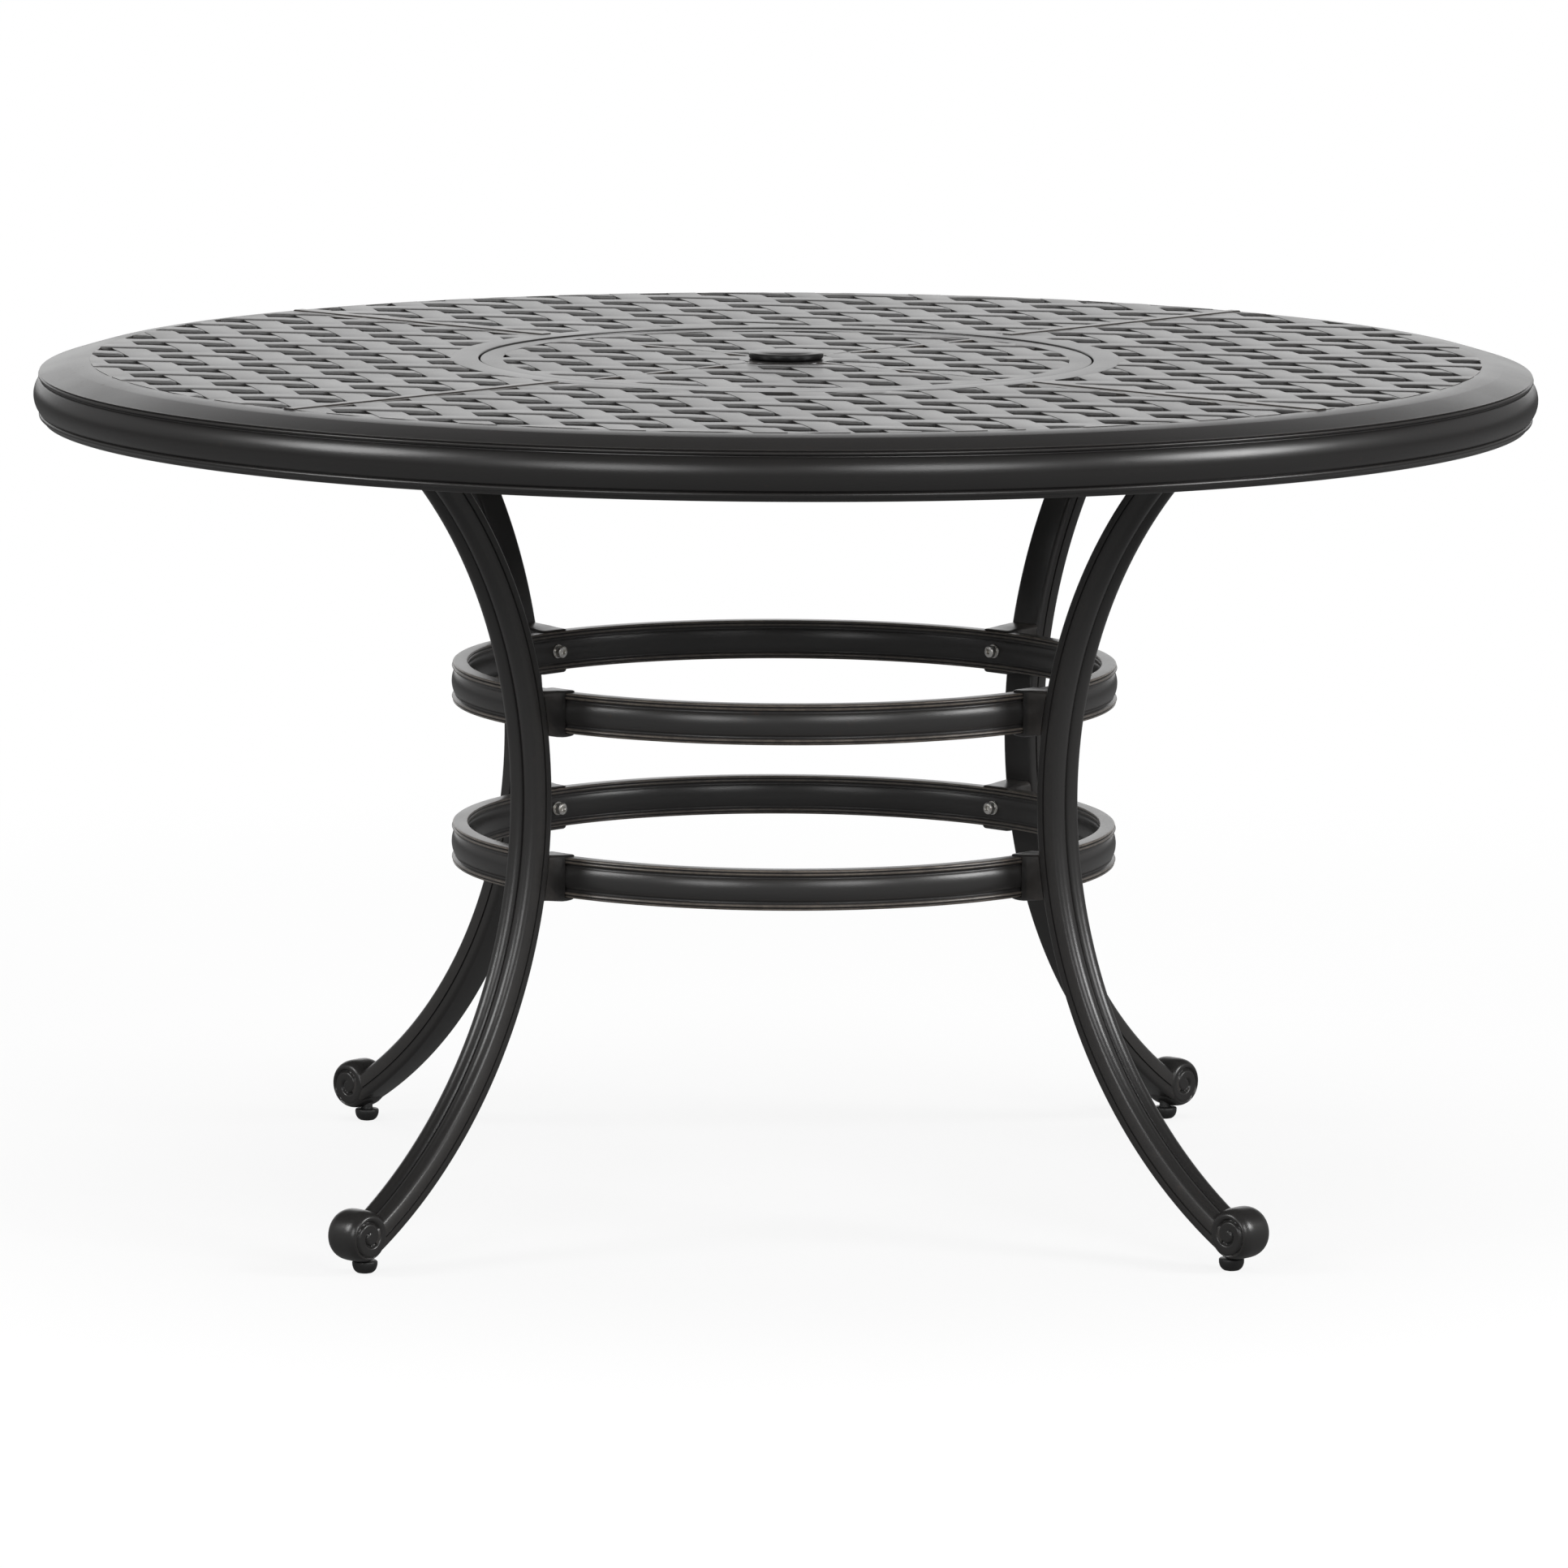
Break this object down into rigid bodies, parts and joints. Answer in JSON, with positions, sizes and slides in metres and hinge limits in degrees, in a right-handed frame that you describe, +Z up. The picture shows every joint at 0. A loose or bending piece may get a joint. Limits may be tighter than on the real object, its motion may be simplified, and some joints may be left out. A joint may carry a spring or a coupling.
{
  "type": "umbrella table",
  "caption": "Round outdoor dining table with a woven lattice top, inset turntable, plugged umbrella hole and reeded scroll-foot legs tied by hoops.",
  "frame": {"origin": "on the floor under the middle of the top", "axes": "+Z up; the legs stand at 45, 135, 225 and 315 degrees about Z; -Y is the side the picture was taken from"},
  "size_m": [1.3209, 1.3209, 0.7516],
  "materials": {
    "coated_casting": "satin powder coat",
    "fastener": "bright zinc",
    "plug_plastic": "moulded",
    "glide_plastic": "moulded"
  },
  "bodies": {
    "base": {"top_frame": "coated_casting", "lattice_panel_front": "coated_casting", "lattice_panel_right": "coated_casting", "lattice_panel_back": "coated_casting", "lattice_panel_left": "coated_casting", "under_frame": "coated_casting", "umbrella_sleeve": "coated_casting", "turntable_pads": "glide_plastic", "leg_bolts": "fastener", "hoop_nuts": "fastener", "upper_hoop": "coated_casting", "lower_hoop": "coated_casting", "leg_front_left": "coated_casting", "leg_front_right": "coated_casting", "leg_back_right": "coated_casting", "leg_back_left": "coated_casting", "upper_saddle_front_left": "coated_casting", "upper_saddle_front_right": "coated_casting", "upper_saddle_back_right": "coated_casting", "upper_saddle_back_left": "coated_casting", "lower_saddle_front_left": "coated_casting", "lower_saddle_front_right": "coated_casting", "lower_saddle_back_right": "coated_casting", "lower_saddle_back_left": "coated_casting"},
    "turntable": {"turntable": "coated_casting"},
    "plug": {"umbrella_plug": "plug_plastic"},
    "glide_front_left": {"glide_front_left": "glide_plastic"},
    "glide_front_right": {"glide_front_right": "glide_plastic"},
    "glide_back_right": {"glide_back_right": "glide_plastic"},
    "glide_back_left": {"glide_back_left": "glide_plastic"}
  },
  "joints": [
    {"name": "turntable_spin", "type": "hinge", "parent": "base", "child": "turntable", "pos_m": [0, 0, 0.74], "axis": [0, 0, 1], "continuous": true},
    {"name": "plug_lift", "type": "slide", "parent": "turntable", "child": "plug", "axis": [0, 0, 1], "range_m": [0, 0.05]},
    {"name": "glide_turn_front_left", "type": "hinge", "parent": "base", "child": "glide_front_left", "pos_m": [-0.3701, -0.3701, 0.02], "axis": [0, 0, 1], "range_deg": [-1440, 1440]},
    {"name": "glide_turn_front_right", "type": "hinge", "parent": "base", "child": "glide_front_right", "pos_m": [0.3701, -0.3701, 0.02], "axis": [0, 0, 1], "range_deg": [-1440, 1440]},
    {"name": "glide_turn_back_right", "type": "hinge", "parent": "base", "child": "glide_back_right", "pos_m": [0.3701, 0.3701, 0.02], "axis": [0, 0, 1], "range_deg": [-1440, 1440]},
    {"name": "glide_turn_back_left", "type": "hinge", "parent": "base", "child": "glide_back_left", "pos_m": [-0.3701, 0.3701, 0.02], "axis": [0, 0, 1], "range_deg": [-1440, 1440]}
  ]
}
